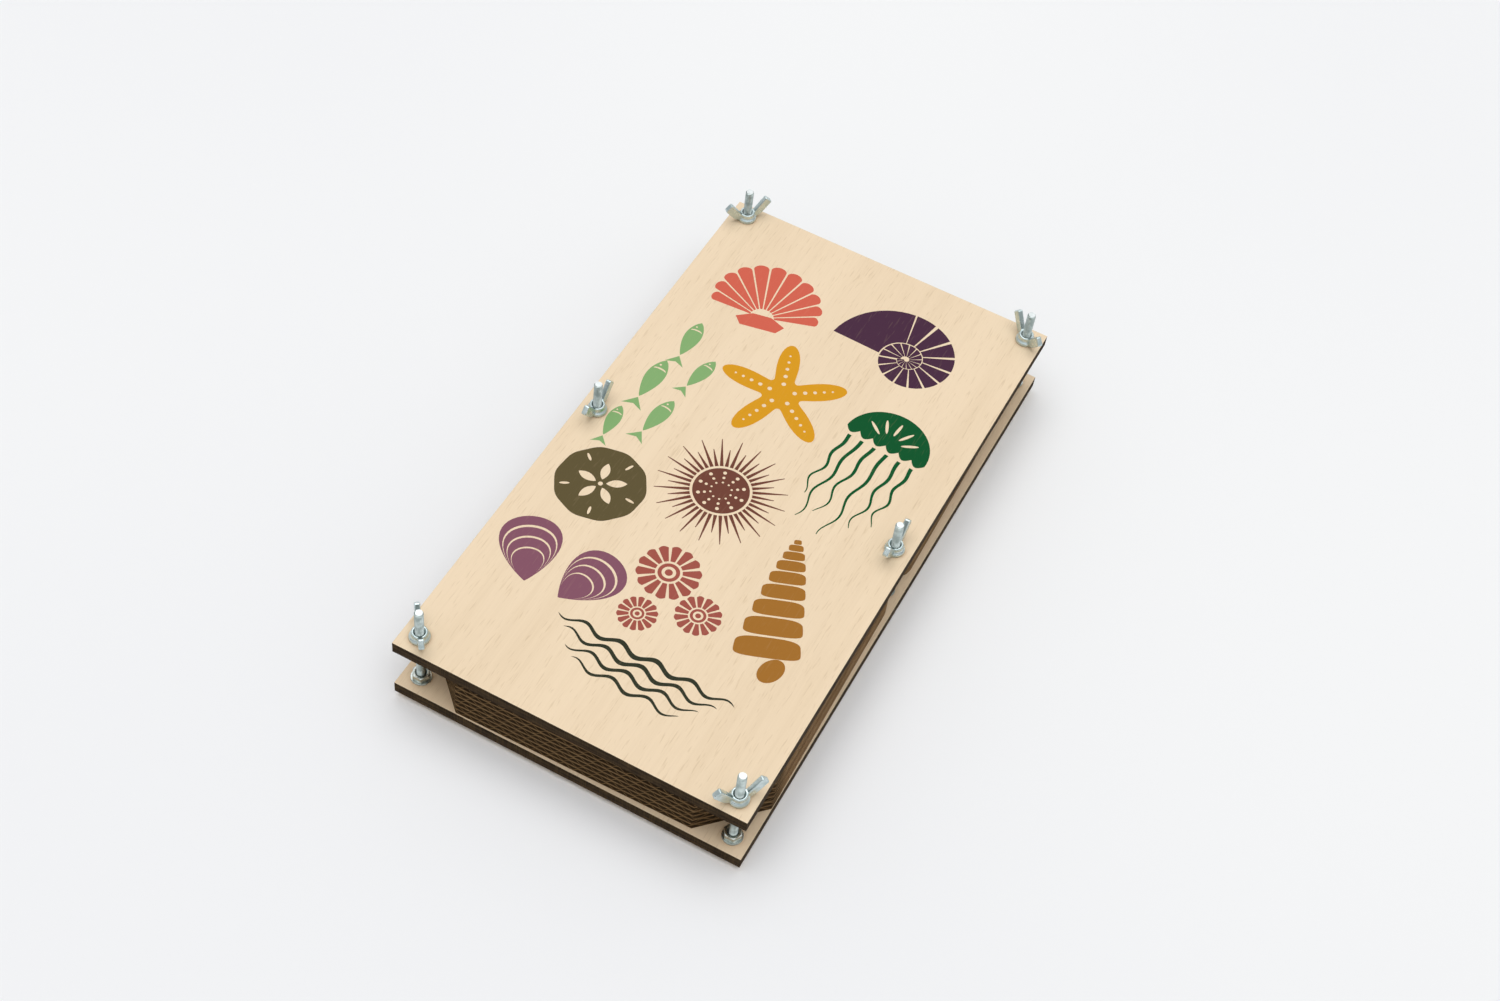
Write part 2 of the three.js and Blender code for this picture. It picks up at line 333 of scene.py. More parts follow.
def rod(name, radius, low, high, place=(0.0, 0.0), sides=48):
    """An upright cylinder between two heights."""
    bpy.ops.object.select_all(action="DESELECT")
    bpy.ops.mesh.primitive_cylinder_add(
        vertices=sides, radius=radius, depth=high - low, location=(*place, (low + high) / 2))
    return settled(name)


def applied(piece, kind, **settings):
    """A modifier is given its settings and applied at once."""
    modifier = piece.modifiers.new(kind.lower(), kind)
    for name, value in settings.items():
        setattr(modifier, name, value)
    activate(piece)
    bpy.ops.object.modifier_apply(modifier=modifier.name)


def combined(piece, tool, operation):
    """Two closed bodies, still bare of materials, are joined, cut or kept where they overlap."""
    applied(piece, "BOOLEAN", operation=operation, object=tool, solver="MANIFOLD")
    piece.data.materials.clear()
    bpy.data.objects.remove(tool)
    return piece


def faces_slot(piece, wanted, slot):
    """Faces for which wanted(face) is true take the material in that slot."""
    for face in piece.data.polygons:
        if wanted(face):
            face.material_index = slot


def board(name):
    """A board with its six bolt holes and slightly broken arrises."""
    low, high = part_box(name)
    piece = block(name + "_ply", low, high)
    for x, y, _ in stations.values():
        combined(piece, rod("drill", hole_diameter / 2, low.z - mm, high.z + mm, (x, y)), "DIFFERENCE")
    applied(piece, "BEVEL", width=arris, segments=2, limit_method="ANGLE", angle_limit=radians(60))
    piece.data.materials.append(material(
        name + "_veneer", veneer, {"Shift": pattern_shift[name]}, veneer_relief,
        Roughness=0.58, Specular_IOR_Level=0.35))
    piece.data.materials.append(material(
        name + "_cut_edge", charred_cut, {"Start": low.z}, char_relief,
        Roughness=0.85, Specular_IOR_Level=0.1))
    faces_slot(piece, lambda face: abs(face.normal.z) < 0.95, 1)
    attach(piece, "top_board" if name == "top_board" else "base")
    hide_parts(name)


for name in ("bottom_board", "top_board"):
    board(name)


# Print on the top board: flat motifs of the shore in eleven inks, laid straight on the
# veneer. Each is a skin of ink with crisp edges, so thin that the wood's grain shows in it.
# A motif is worked out from one size in millimetres, mostly as shares of it.

ink_proud = 0.03 * mm
ink_sunk = 0.02 * mm
ink_relief = 0.01 * mm
weld_distance = 0.0005 * mm
board_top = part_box("top_board")[1].z

tree, given, result = effect(
    "ink_on_veneer", {"Ink": colour("000000")}, {"Base Color": "Color", "Height": "Float"})
fibre = noise(tree, (1500, 40, 300), 3.0)
flecks = spread(tree, noise(tree, (1500, 130, 300), 1.0), 0.6, 0.74, 0.0, 0.05)
tree.links.new(blended(tree, flecks, given["Ink"], veneer_fleck), result["Base Color"])
tree.links.new(fibre, result["Height"])
ink_on_veneer = tree


def turned_points(points, turn, x=0.0, y=0.0):
    """Points turned about the origin by degrees, then moved."""
    c, s = cos(radians(turn)), sin(radians(turn))
    return [(x + c * px - s * py, y + s * px + c * py) for px, py in points]


def spoke(reach, aim):
    """The point that far from the origin, at an aim in degrees."""
    return turned_points([(reach, 0.0)], aim)[0]


def sized(points, size):
    """Points drawn as shares of a size, brought to that size."""
    return [(size * px, size * py) for px, py in points]


def oval(x, y, across, along, turn=0.0, count=28):
    """An oval about a point, from its two half widths."""
    ring = [(across * cos(2 * pi * i / count), along * sin(2 * pi * i / count)) for i in range(count)]
    return turned_points(ring, turn, x, y)


def printed(name, ink, outlines, x, y, turn=0.0):
    """One motif: outlines in millimetres, where an outline inside another is left bare."""
    curve = bpy.data.curves.new(name, "CURVE")
    curve.dimensions = "2D"
    curve.fill_mode = "BOTH"
    curve.extrude = (ink_proud + ink_sunk) / 2
    for outline in outlines:
        spline = curve.splines.new("POLY")
        spline.points.add(len(outline) - 1)
        spline.use_cyclic_u = True
        for point, (px, py) in zip(spline.points, turned_points(outline, turn, x, y)):
            point.co = (px * mm, py * mm, 0.0, 1.0)
    motif = bpy.data.objects.new(name, curve)
    bpy.context.collection.objects.link(motif)
    motif.location.z = board_top + (ink_proud - ink_sunk) / 2
    activate(motif)
    bpy.ops.object.convert(target="MESH")
    motif = settled(name)
    bpy.ops.object.mode_set(mode="EDIT")
    bpy.ops.mesh.select_all(action="SELECT")
    bpy.ops.mesh.remove_doubles(threshold=weld_distance)
    bpy.ops.mesh.normals_make_consistent(inside=False)
    bpy.ops.object.mode_set(mode="OBJECT")
    motif.data.materials.clear()
    motif.data.materials.append(material(
        name + "_ink", ink_on_veneer, {"Ink": colour(ink)}, ink_relief,
        Roughness=0.65, Specular_IOR_Level=0.12))
    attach(motif, "top_board")


def scallop(size):
    """A fan of rounded ribs over a small hinge."""
    rib_turn, rib_half = 15, radians(6.3)
    root_reach, root_half = size * 0.17, rib_half * 0.8
    hinge = [(-0.34, -0.07), (-0.25, -0.2), (0.25, -0.2), (0.34, -0.07), (0.13, 0.05), (-0.13, 0.05)]
    ribs = []
    for step in range(-5, 6):
        reach = size * (1 - 0.009 * step * step)
        tip = []
        for k in range(11):
            a = pi * k / 10 - pi / 2
            swing = rib_half * sin(a)
            tip.append((reach * (0.93 + 0.07 * cos(a)) * cos(swing), reach * sin(swing) * 0.98))
        root = [(root_reach, root_reach * sin(root_half)), (root_reach, -root_reach * sin(root_half))]
        ribs.append(turned_points(tip + root, 90 - rib_turn * step))
    return ribs + [sized(hinge, size)]


def starfish(size):
    """Five round-tipped arms with a row of bare dots down each."""
    arm_turn = 72
    dot_row = ((0.2, 0.035), (0.36, 0.033), (0.51, 0.029), (0.65, 0.024), (0.78, 0.018))
    edge = []
    for k in range(150):
        a = 2 * pi * k / 150
        lobe = (1 + cos(5 * a)) / 2
        reach = size * (0.3 + 0.7 * lobe ** 1.5)
        edge.append((reach * cos(a + pi / 2), reach * sin(a + pi / 2)))
    dots = [oval(*spoke(size * out, 90 + arm_turn * arm), size * radius, size * radius, 0, 12)
            for arm in range(5) for out, radius in dot_row]
    return [edge] + dots


def urchin(size):
    """A round shell with rows of bare dots, ringed by spines of two lengths."""
    shell_radius, row_turn, spine_turn = size * 0.43, 36, 9
    dot_row = ((0.16, 0.018), (0.25, 0.024), (0.345, 0.03))
    foot, foot_half, tip_half = size * 0.47, size * 0.028, size * 0.006
    rows = [oval(*spoke(size * out, row_turn * arm), size * radius, size * radius, 0, 10)
            for arm in range(10) for out, radius in dot_row]
    spines = []
    for k in range(40):
        tip = size * (1.0 if k % 2 else 0.8)
        spine = [(foot, -foot_half), (tip, -tip_half), (tip, tip_half), (foot, foot_half)]
        spines.append(turned_points(spine, spine_turn * k))
    return [oval(0, 0, shell_radius, shell_radius, 0, 60)] + rows + spines


def chambered_shell(size):
    """A flat coiled shell, cut open to its chambers, which grow along a spiral."""
    growth, first_reach, rim = 0.178, size * 0.135, 0.975
    chambers, chamber_span, mouth_span, wall = 26, 0.42, 1.35, 0.03
    cells = []
    for k in range(chambers + 1):
        start = chamber_span * k
        is_mouth = k == chambers
        span, gap = (mouth_span, 0.0) if is_mouth else (chamber_span, wall)
        outer, inner = [], []
        for i in range(13):
            a = start + gap + (span - 2 * gap) * i / 12
            out = first_reach * exp(growth * a)
            outer.append((out * rim * cos(a), out * rim * sin(a)))
            if start > 2 * pi:
                base, bow = out * exp(-growth * 2 * pi) * 1.06, 0.16
            else:
                base, bow = out * 0.2, 0.0
            inner.append((base * cos(a + bow), base * sin(a + bow)))
        cells.append(outer + inner[::-1])
    return [turned_points(cell, 200) for cell in cells]


def ribbon(x, y, length, swing, waves, phase, thickness):
    """A thin wavy streamer that hangs from a point and tapers away."""
    left, right = [], []
    thinnest = 0.18
    for k in range(41):
        t = k / 40
        middle = x + swing * t ** 0.6 * sin(2 * pi * waves * t + phase) - swing * t ** 0.6 * sin(phase)
        half = thickness * (1 - t) ** 0.7 / 2 + thinnest
        left.append((middle - half, y - length * t))
        right.append((middle + half, y - length * t))
    return left + right[::-1]


def jellyfish(size):
    """A domed bell with bare slots and a scalloped hem, over wavy streamers."""
    half, tall = 0.25 * size, 0.24 * size
    hem_depth, hem_lobes = 0.035, 6
    streamer_lengths = (0.5, 0.66, 0.58, 0.7, 0.56, 0.48)
    streamer_top, streamer_swing = -0.055 * size, 0.022 * size
    streamer_waves, streamer_thickness = 2.3, 1.5
    dome = [(half * cos(pi * k / 30), tall * sin(pi * k / 30)) for k in range(31)]
    hem = [(-half + 2 * half * k / 48, -hem_depth * size * abs(sin(pi * hem_lobes * k / 48)))
           for k in range(1, 48)]
    slots = [oval(*spoke(0.135 * size, aim), 0.05 * size, 0.009 * size, aim, 20)
             for aim in (34, 62, 90, 118, 146)]
    streamers = [ribbon((-0.2 + 0.08 * k) * size, streamer_top, length * size, streamer_swing,
                        streamer_waves, 1.1 * k, streamer_thickness)
                 for k, length in enumerate(streamer_lengths)]
    return [dome + hem] + slots + streamers


def sand_dollar(size):
    """A disc with five bare petals and five short slots."""
    arm_turn, heart_radius = 72, size * 0.055
    edge = []
    for k in range(80):
        a = 2 * pi * k / 80
        reach = size * (1 + 0.012 * cos(10 * a))
        edge.append((reach * cos(a), reach * sin(a)))
    petal, petals, slots = [], [], []
    for k in range(11):
        t = k / 10
        petal.append((size * (0.12 + 0.46 * t), size * 0.1 * sin(pi * t) ** 0.8))
    petal += [(px, -py) for px, py in petal[-2:0:-1]]
    for arm in range(5):
        aim = 90 + arm_turn * arm
        petals.append(turned_points(petal, aim))
        between = aim + arm_turn / 2
        slots.append(oval(*spoke(size * 0.77, between), size * 0.11, size * 0.032, between, 20))
    return [edge] + petals + slots + [oval(0, 0, heart_radius, heart_radius, 0, 16)]


def turret_shell(size):
    """A tall pointed shell: slanted whorls that grow from the tip down, and its mouth."""
    slant = 8
    whorls = []
    low = size * 0.5
    for k in range(9):
        half = size * (0.024 + 0.0225 * k)
        tall = size * (0.02 + 0.008 * k)
        low -= tall
        ring = []
        for i in range(40):
            a = 2 * pi * i / 40
            side, end = cos(a), sin(a)
            ring.append((half * abs(side) ** 0.55 * (1 if side > 0 else -1) * (1 - 0.1 * end),
                         tall * 0.9 * abs(end) ** 0.45 * (1 if end > 0 else -1)))
        whorls.append(turned_points(ring, slant, 0.0, low))
        low -= tall
    return whorls + [oval(size * 0.06, low - size * 0.075, size * 0.1, size * 0.07, 58)]


def little_fish(size):
    """A fish from the side: a lens with a bare eye and a bare gill, and a notched tail."""
    tail = [(-0.53, 0.0), (-0.78, 0.2), (-0.7, 0.0), (-0.78, -0.2)]
    body, gill = [], []
    for k in range(19):
        t = k / 18
        body.append((size * (0.5 - t), size * 0.19 * sin(pi * t) ** 0.75 * (1.15 - 0.5 * t)))
    body += [(px, -py) for px, py in body[-2:0:-1]]
    for k in range(9):
        a = pi * k / 8 - pi / 2
        gill.append((size * (0.22 + 0.03 * cos(a)), size * 0.12 * sin(a)))
    for k in range(9):
        a = pi / 2 - pi * k / 8
        gill.append((size * (0.24 + 0.045 * cos(a)), size * 0.12 * sin(a)))
    eye = oval(size * 0.35, size * 0.045, size * 0.022, size * 0.022, 0, 10)
    return [body, sized(tail, size), gill, eye]


def mussel(size):
    """Half a mussel: a drop with bare growth lines that all spring from its beak."""
    growth_lines = ((0.86, 0.035), (0.69, 0.03), (0.52, 0.025))

    def drop(scale):
        ring = []
        for k in range(44):
            a = 2 * pi * k / 44
            ring.append((size * scale * (1 - cos(a)) / 2, size * scale * 0.5 * sin(a) * sin(a / 2) ** 0.9))
        return ring

    def crescent(scale, width):
        outer = drop(scale)[8:37]
        inner = drop(scale - width)[8:37]
        return outer + inner[::-1]

    return [drop(1.0)] + [crescent(scale, width) for scale, width in growth_lines]


def limpet(size):
    """A limpet from above: ribs round a ring and a dot."""
    rib_count = 14
    rib_half = 0.37 * 360 / rib_count
    wedge = [(size * 0.42 * cos(radians(a)), size * 0.42 * sin(radians(a))) for a in (rib_half, -rib_half)]
    for i in range(7):
        a = -rib_half + 2 * rib_half * i / 6
        reach = size * (0.94 + 0.06 * cos(radians(90 * a / rib_half)))
        wedge.append((reach * cos(radians(a)), reach * sin(radians(a))))
    wedges = [turned_points(wedge, 360 * k / rib_count) for k in range(rib_count)]
    rings = [oval(0, 0, size * radius, size * radius) for radius in (0.34, 0.22, 0.12)]
    return wedges + rings


def ripples(half_width, rows):
    """Rows of water ripples in millimetres, thick in the middle and drawn out to points."""
    row_gap, wave_height, wave_length, row_phase = 5.6, 1.7, 17, 1.3
    lines = []
    for row in range(rows):
        half = half_width * (1 - 0.13 * row)
        upper, lower = [], []
        for k in range(81):
            t = k / 80
            x = -half + 2 * half * t
            wave = wave_height * sin(2 * pi * x / wave_length + row_phase * row)
            thickness = (1.15 - 0.1 * row) * sin(pi * t) ** 0.5
            upper.append((x, wave + thickness - row_gap * row))
            lower.append((x, wave - thickness - row_gap * row))
        lines.append(upper + lower[::-1][1:-1])
    return lines


def group_of(shape, places):
    """The same shape several times over, each with its x, y, turn and scale."""
    return [turned_points(sized(outline, scale), turn, x, y)
            for x, y, turn, scale in places for outline in shape]


printed("print_scallop", "d3634f", scallop(34), -37, 88, 12)
printed("print_chambered_shell", "48293f", chambered_shell(31), 31, 101)
printed("print_little_fish", "85ad70", group_of(
    little_fish(25),
    [(27, 6, 6, 0.9), (12, -9, -8, 0.8), (-3, 7, 3, 1), (-20, -7, -5, 0.9), (-34, 8, 8, 0.75)]), -54, 32, 86)
printed("print_starfish", "d9991b", starfish(30), -8, 52, 17)
printed("print_jellyfish", "005227", jellyfish(80), 45, 50, -6)
printed("print_urchin", "704134", urchin(29), -5, -11)
printed("print_sand_dollar", "5e5233", sand_dollar(20), -51, -35, 12)
printed("print_turret_shell", "a36d29", turret_shell(68), 44, -50, 14)
printed("print_limpets", "a15347", group_of(
    limpet(14), [(0, 0, 0, 1), (21, -13, 9, 0.72), (-1, -25, 3, 0.62)]), -3, -61)
printed("print_mussels", "845364", group_of(
    mussel(34), [(-8, -16, 114, 1), (8, -16, 66, 0.94)]), -44, -80)
printed("print_ripples", "2e3223", ripples(42, 4), 10, -104, -3)


# Corrugated cards: seven sheets of brown kraft board, each two liners with a wavy sheet
# glued between them, so that open flutes run along the press. Cut by laser, edges browned.

card_width = 157 * mm
card_length = 297 * mm
card_thickness = 3 * mm
paper_thickness = 0.34 * mm
glue_overlap = 0.03 * mm
flute_pitch = 6.5 * mm
flute_phase_step = 2.1 * mm
flute_count = 28
flute_steps = 12
corner_leg = 24.02 * mm
notch_radius = 6.48 * mm
notch_centre = 70.7 * mm
shoulder_radius = 7.8 * mm
stack_turn = radians(1.083)
tolerance = 0.01 * mm
# How far in from the open ends the flute insides are painted darker, as shade in the openings.
flute_shade_depth = 14 * mm
paper_relief = 0.03 * mm

kraft_pale = colour("a98a66")
kraft_dark = colour("8f7151")
flute_shade_brown = colour("4d3c28")

tree, given, result = effect(
    "paper_fibre", {"Pale": colour("ffffff"), "Dark": colour("000000")},
    {"Base Color": "Color", "Height": "Float"})
clouds = spread(tree, noise(tree, (90, 90, 90), 3.0), 0.3, 0.7)
fibres = noise(tree, (2600, 900, 2600), 3.0)
share = maths(tree, "MULTIPLY", clouds, 0.45)
share = maths(tree, "ADD", share, maths(tree, "MULTIPLY", spread(tree, fibres, 0.35, 0.7), 0.5))
tree.links.new(blended(tree, share, given["Pale"], given["Dark"]), result["Base Color"])
tree.links.new(fibres, result["Height"])
paper_fibre = tree

# Inside the flutes the kraft is painted darker towards the open ends and the cut corners: painted shade in
# the flute openings.
tree, given, result = effect(
    "flute_shaded_kraft", {"Pale": kraft_pale, "Dark": kraft_dark, "FluteShade": flute_shade_brown},
    {"Base Color": "Color", "Height": "Float"})
paper = node(tree, "Group", {"Pale": given["Pale"], "Dark": given["Dark"]}, node_tree=paper_fibre)
place = node(tree, "SeparateXYZ", {0: node(tree, "TexCoord").outputs["Object"]})
across = maths(tree, "ABSOLUTE", place.outputs["X"])
along = maths(tree, "ABSOLUTE", place.outputs["Y"])
half_reach = card_width / 2 + card_length / 2 - corner_leg
slant = maths(tree, "SUBTRACT", maths(tree, "ADD", across, along), half_reach - card_length / 2)
nearest_end = maths(tree, "MAXIMUM", along, slant)
flute_shade_share = spread(tree, nearest_end, card_length / 2 - flute_shade_depth, card_length / 2 - mm)
tree.links.new(blended(tree, flute_shade_share, paper.outputs["Base Color"], given["FluteShade"]), result["Base Color"])
tree.links.new(paper.outputs["Height"], result["Height"])
flute_shaded_kraft = tree

kraft = material(
    "kraft_liner", paper_fibre, {"Pale": kraft_pale, "Dark": kraft_dark}, paper_relief,
    Roughness=0.88, Specular_IOR_Level=0.15)
kraft_inside = material(
    "kraft_inside_flutes", flute_shaded_kraft, {}, paper_relief, Roughness=0.9, Specular_IOR_Level=0.1)
kraft_cut = material(
    "kraft_cut_edge", charred_cut,
    {"Dark": colour("634c30"), "Light": colour("866b47"), "Layer": 0.4 * mm}, paper_relief,
    Roughness=0.9, Specular_IOR_Level=0.1)


def picked_uprights(piece, wanted):
    """In edit mode, only the upright edges whose place suits are selected."""
    bpy.ops.mesh.select_mode(type="EDGE")
    bpy.ops.mesh.select_all(action="DESELECT")
    shell = bmesh.from_edit_mesh(piece.data)
    for edge in shell.edges:
        foot, head = (corner.co for corner in edge.verts)
        if (head - foot).xy.length < tolerance and wanted(foot):
            edge.select_set(True)
    bmesh.update_edit_mesh(piece.data)


def at(value, target):
    """Whether a coordinate lies that far from the middle, on either side of it."""
    return abs(abs(value) - target) < tolerance


def card_blank():
    """The outline of every card: cut corners, and a round notch at each middle bolt."""
    half_width, half_length = card_width / 2, card_length / 2
    piece = block("card_blank", (-half_width, -half_length, 0), (half_width, half_length, card_thickness))
    inner = notch_centre - notch_radius
    for side in (-1, 1):
        ends = sorted((side * inner, side * (half_width + mm)))
        slot = block("slot", (ends[0], -notch_radius, -mm), (ends[1], notch_radius, card_thickness + mm))
        combined(piece, slot, "DIFFERENCE")
    activate(piece)
    bpy.ops.object.mode_set(mode="EDIT")
    for wanted, offset, segments in (
            (lambda p: at(p.x, half_width) and at(p.y, half_length), corner_leg, 1),
            (lambda p: at(p.x, half_width) and at(p.y, notch_radius), shoulder_radius, 8),
            (lambda p: at(p.x, inner) and at(p.y, notch_radius), notch_radius - tolerance, 10)):
        picked_uprights(piece, wanted)
        bpy.ops.mesh.bevel(offset=offset, offset_type="OFFSET", segments=segments, affect="EDGES")
    bpy.ops.object.mode_set(mode="OBJECT")
    return piece


def corrugated_board():
    """A sheet larger than a card: the wavy paper between its two liners."""
    half_width, half_length = flute_count * flute_pitch / 2, card_length / 2 + mm
    middle = card_thickness / 2
    swing = middle - 1.5 * paper_thickness + glue_overlap
    bpy.ops.object.select_all(action="DESELECT")
    bpy.ops.mesh.primitive_grid_add(x_subdivisions=flute_count * flute_steps, y_subdivisions=1, size=1)
    bpy.context.object.scale = (2 * half_width, 2 * half_length, 1)
    sheet = settled("wavy_paper")
    for corner in sheet.data.vertices:
        corner.co.z = middle - swing * cos(2 * pi * corner.co.x / flute_pitch)
    applied(sheet, "SOLIDIFY", thickness=paper_thickness, offset=0.0)
    for low in (0.0, card_thickness - paper_thickness):
        liner = block("liner", (-half_width - mm, -half_length - mm, low),
                      (half_width + mm, half_length + mm, low + paper_thickness))
        combined(sheet, liner, "UNION")
    return sheet


def twin(piece, name, matrix):
    """A copy with its own mesh, moved by a matrix."""
    copy = piece.copy()
    copy.data = piece.data.copy()
    copy.name = name
    copy.data.name = name
    copy.data.transform(matrix)
    bpy.context.collection.objects.link(copy)
    return copy


blank = card_blank()
plain_board = corrugated_board()
for index in range(7):
    name = f"card_{index + 1}"
    phase = index * flute_phase_step % flute_pitch
    card = twin(plain_board, f"corrugated_{name}", Matrix.Translation((phase, 0, 0)))
    combined(card, twin(blank, "cutter", Matrix.Identity(4)), "INTERSECT")
    lift = Matrix.Translation((0, 0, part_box(name)[0].z))
    card.data.transform(lift @ Matrix.Rotation(stack_turn, 4, "Z"))
    for finish in (kraft_inside, kraft_cut, kraft):
        card.data.materials.append(finish)
    middle = sum(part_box(name), Vector()).z / 2
    faces_slot(card, lambda face: abs(face.normal.z) < 0.1, 1)
    faces_slot(card, lambda face: abs(face.center.z - middle) > card_thickness / 2 - tolerance, 2)
    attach(card, "base")
    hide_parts(name)
for spare in (blank, plain_board):
    bpy.data.objects.remove(spare)


# Blotting sheets: six thin sheets of soft off-white paper, one between each card and the
# next, cut a little smaller. They are the frame's own solids with a paper finish.

blotting_relief = 0.05 * mm
blotting = material(
    "blotting_paper", paper_fibre, {"Pale": colour("ece7da"), "Dark": colour("d8d0bd")}, blotting_relief,
    Roughness=0.95, Specular_IOR_Level=0.1)
for index in range(6):
    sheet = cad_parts[f"blotter_{index + 1}"]
    sheet.data.materials.clear()
    sheet.data.materials.append(blotting)


# Bolts: six zinc-plated machine screws with a rolled thread up the whole shank. They come up
# through the bottom board, and their pan heads, with a cross recess, are the feet.

thread_pitch = 0.7 * mm
shank_radius = 1.95 * mm
thread_depth = 0.4 * mm
ridge_root = 0.1 * mm
head_radius = 4 * mm
head_height = 3.1 * mm
head_rounding = 0.15 * mm
bolt_tip = 55.1 * mm
core_rounding = 0.08 * mm
tip_chamfer = 0.32 * mm
run_out = 0.04 * mm
recess_reach = 1.9 * mm
recess_half_width = 0.42 * mm
recess_depth = 1.4 * mm
zinc_relief = 0.01 * mm
fine_weld = 0.001 * mm

tree, given, result = effect(
    "zinc_plate", {"Bright": colour("d5dcdb"), "Dull": colour("b3bfbe"), "Smooth": 0.24, "Rough": 0.42},
    {"Base Color": "Color", "Roughness": "Float", "Height": "Float"})
clouds = spread(tree, noise(tree, (420, 420, 420), 2.0), 0.32, 0.68)
specks = spread(tree, noise(tree, (3600, 3600, 3600), 1.0), 0.55, 0.8)
share = maths(tree, "ADD", maths(tree, "MULTIPLY", clouds, 0.6), maths(tree, "MULTIPLY", specks, 0.4))
tree.links.new(blended(tree, share, given["Bright"], given["Dull"]), result["Base Color"])
wear = maths(tree, "MULTIPLY", maths(tree, "SUBTRACT", given["Rough"], given["Smooth"]), share)
tree.links.new(maths(tree, "ADD", given["Smooth"], wear), result["Roughness"])
tree.links.new(maths(tree, "ADD", clouds, specks), result["Height"])
zinc_plate = tree


def lathed(name, profile, steps=48):
    """A line of (radius, height) points in metres, drawn point by point and spun round."""
    bpy.ops.object.select_all(action="DESELECT")
    bpy.ops.mesh.primitive_plane_add(size=mm)
    piece = bpy.context.object
    piece.name = name
    activate(piece)
    bpy.ops.object.mode_set(mode="EDIT")
    bpy.ops.mesh.select_mode(type="VERT")
    bpy.ops.mesh.select_all(action="SELECT")
    bpy.ops.mesh.merge(type="CENTER")
    bpy.ops.transform.translate(value=(profile[0][0], 0, profile[0][1]))
    for start, end in zip(profile, profile[1:]):
        step = (end[0] - start[0], 0, end[1] - start[1])
        bpy.ops.mesh.extrude_vertices_move(TRANSFORM_OT_translate={"value": step})
    bpy.ops.mesh.select_all(action="SELECT")
    bpy.ops.mesh.remove_doubles(threshold=fine_weld)
    bpy.ops.mesh.select_all(action="SELECT")
    bpy.ops.mesh.spin(steps=steps, angle=2 * pi, center=(0, 0, 0), axis=(0, 0, 1))
    bpy.ops.mesh.select_all(action="SELECT")
    bpy.ops.mesh.remove_doubles(threshold=fine_weld)
    bpy.ops.mesh.normals_make_consistent(inside=False)
    bpy.ops.object.mode_set(mode="OBJECT")
    return settled(name)


def thread_ridge(low, high):
    """The ridge of the thread: a three-cornered wire wound up the shank, closed at its ends."""
    root = shank_radius - thread_depth - ridge_root
    foot_half = 0.36 * thread_pitch
    bpy.ops.object.select_all(action="DESELECT")
    bpy.ops.mesh.primitive_circle_add(vertices=3, radius=mm, fill_type="NOTHING")
    ridge = settled("ridge")
    corners = ((root, -foot_half), (shank_radius, 0.0), (root, foot_half))
    for vertex, (radius, height) in zip(ridge.data.vertices, corners):
        vertex.co = (radius, 0.0, low + height)
    applied(ridge, "SCREW", axis="Z", angle=2 * pi, screw_offset=thread_pitch, steps=24, render_steps=24,
            iterations=int((high - low) / thread_pitch), use_smooth_shade=False)
    activate(ridge)
    bpy.ops.object.mode_set(mode="EDIT")
    bpy.ops.mesh.select_mode(type="VERT")
    bpy.ops.mesh.select_all(action="SELECT")
    bpy.ops.mesh.fill_holes(sides=3)
    bpy.ops.mesh.select_all(action="SELECT")
    bpy.ops.mesh.normals_make_consistent(inside=False)
    bpy.ops.object.mode_set(mode="OBJECT")
    return ridge


def bolt():
    """Shank, thread and head in one, upright on the crown of its head."""
    core_radius = shank_radius - thread_depth
    envelope_radius = shank_radius + run_out
    envelope_tip = bolt_tip - run_out
    core = lathed("bolt", [
        (0, 0), (1.6 * mm, 0), (2.5 * mm, 0.08 * mm), (3.2 * mm, 0.36 * mm), (3.75 * mm, 0.95 * mm),
        (head_radius, 1.75 * mm), (head_radius, head_height - head_rounding),
        (head_radius - head_rounding, head_height),
        (shank_radius + 0.2 * mm, head_height), (core_radius, head_height + 0.3 * mm),
        (core_radius, bolt_tip - core_rounding), (core_radius - core_rounding, bolt_tip), (0, bolt_tip)], 24)
    envelope = lathed("envelope", [
        (0, head_height), (envelope_radius, head_height), (envelope_radius, envelope_tip - tip_chamfer),
        (envelope_radius - tip_chamfer, envelope_tip), (0, envelope_tip)], 24)
    ridge = thread_ridge(head_height + thread_pitch, bolt_tip + thread_pitch)
    combined(core, combined(ridge, envelope, "INTERSECT"), "UNION")
    for turn in (0, 90):
        arm = block("recess", (-recess_reach, -recess_half_width, -mm),
                    (recess_reach, recess_half_width, recess_depth))
        arm.data.transform(Matrix.Rotation(radians(turn), 4, "Z"))
        combined(core, arm, "DIFFERENCE")
    activate(core)
    bpy.ops.object.shade_smooth_by_angle(angle=radians(28))
    return core


def placed(pattern, kind, height, turned=False):
    """A fastener at each of the six bolts, standing for the frame's plain solid there."""
    for station, (x, y, turn) in stations.items():
        name = f"{kind}_{station}"
        spin = Matrix.Rotation(radians(turn), 4, "Z") if turned else Matrix.Identity(4)
        copy = twin(pattern, f"zinc_{name}", Matrix.Translation((x, y, height)) @ spin)
        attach(copy, name if kind == "wing_nut" else "base")
        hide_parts(name)
    bpy.data.objects.remove(pattern)


